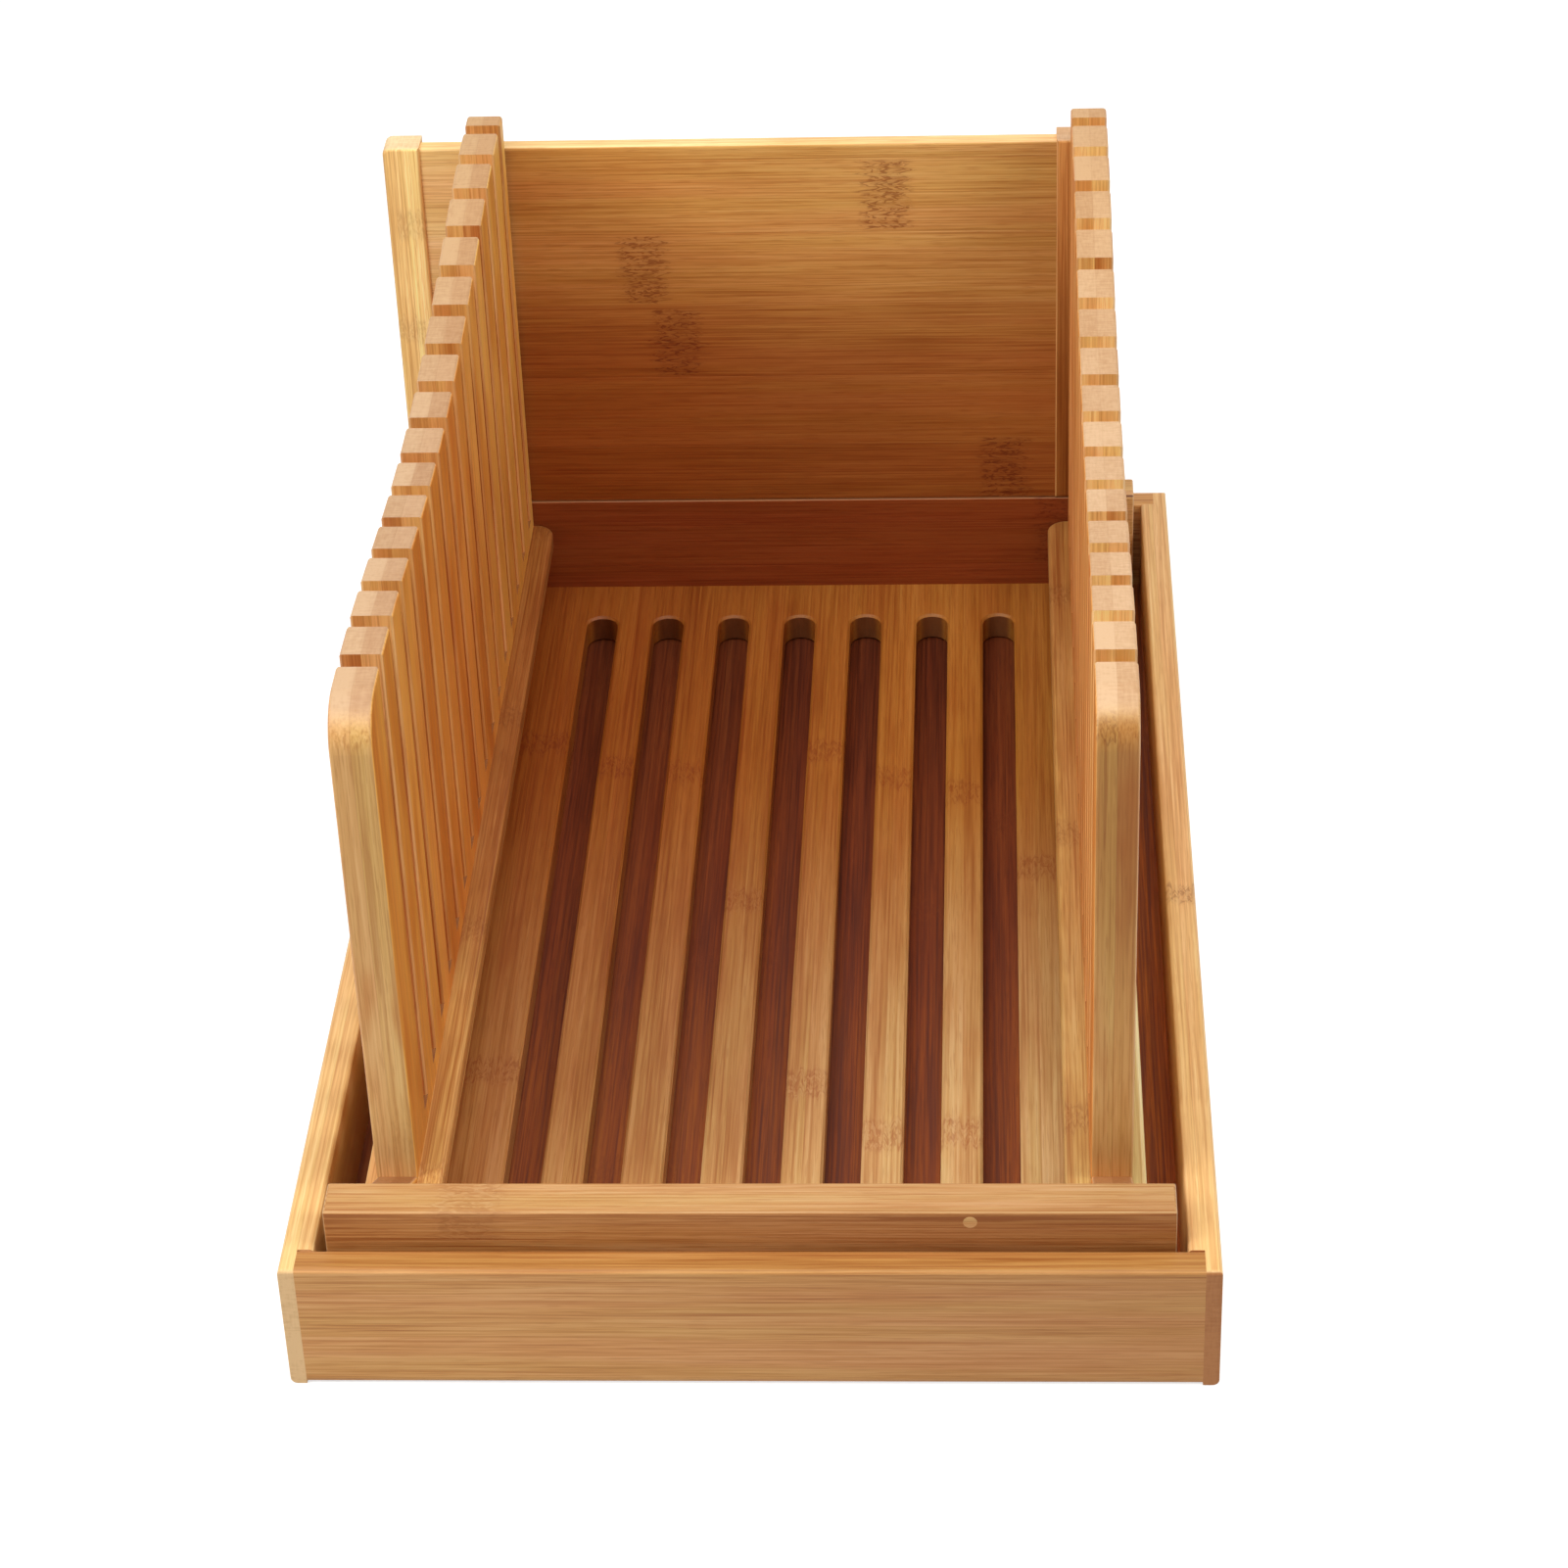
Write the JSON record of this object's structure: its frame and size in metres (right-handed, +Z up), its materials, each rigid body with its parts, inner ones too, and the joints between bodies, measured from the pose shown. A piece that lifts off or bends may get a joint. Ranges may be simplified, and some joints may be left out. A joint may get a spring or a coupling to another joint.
{
  "type": "bread slicer guide",
  "caption": "Wooden bread slicing guide: a shallow crumb tray holds a lift-out frame with two toothed folding guide boards, a slotted base and a sliding back panel.",
  "frame": {"origin": "centre of the crumb tray's underside", "axes": "+X across the loaf to the right seen from the front bar, +Y from the front bar to the back panel, +Z up"},
  "size_m": [0.205, 0.327, 0.1556],
  "materials": {
    "tray_bamboo": "satin oiled bamboo, grain along each board",
    "floor_bamboo": "dark satin bamboo sheet",
    "bar_bamboo": "satin oiled bamboo",
    "rear_bamboo": "satin oiled bamboo",
    "base_bamboo": "satin oiled bamboo",
    "guide_bamboo": "satin oiled bamboo, grain upright",
    "batten_bamboo": "satin oiled bamboo",
    "panel_bamboo": "satin oiled bamboo in 21 mm strips",
    "panel_batten_bamboo": "satin oiled bamboo",
    "peg_wood": "turned bamboo, satin",
    "pin_steel": "drawn steel pin"
  },
  "bodies": {
    "tray": {"tray_left_side": "tray_bamboo", "tray_right_side": "tray_bamboo", "tray_front_board": "tray_bamboo", "tray_back_board": "tray_bamboo", "tray_floor": "floor_bamboo"},
    "frame": {"front_bar": "bar_bamboo", "rear_board": "rear_bamboo", "base_board": "base_bamboo", "front_bar_plug": "peg_wood", "left_front_pivot_pin": "pin_steel", "left_rear_pivot_pin": "pin_steel", "left_stop_peg": "peg_wood", "right_front_pivot_pin": "pin_steel", "right_rear_pivot_pin": "pin_steel", "right_stop_peg": "peg_wood"},
    "left_guide": {"left_guide_board": "guide_bamboo", "left_inner_batten": "batten_bamboo", "left_outer_batten": "batten_bamboo"},
    "right_guide": {"right_guide_board": "guide_bamboo", "right_inner_batten": "batten_bamboo", "right_outer_batten": "batten_bamboo"},
    "back_panel": {"panel_plate": "panel_bamboo", "panel_left_batten": "panel_batten_bamboo", "panel_right_batten": "panel_batten_bamboo"}
  },
  "joints": [
    {"name": "frame_lift", "type": "slide", "parent": "tray", "child": "frame", "axis": [0, 0, 1], "range_m": [0, 0.05]},
    {"name": "left_guide_fold", "type": "hinge", "parent": "frame", "child": "left_guide", "pos_m": [-0.0774, 0, 0.0238], "axis": [0, 1, 0], "range_deg": [0, 90]},
    {"name": "right_guide_fold", "type": "hinge", "parent": "frame", "child": "right_guide", "pos_m": [0.0774, 0, 0.0332], "axis": [0, -1, 0], "range_deg": [0, 90]},
    {"name": "panel_slide", "type": "slide", "parent": "frame", "child": "back_panel", "axis": [1, 0, 0], "range_m": [-0.002, 0.028]}
  ]
}
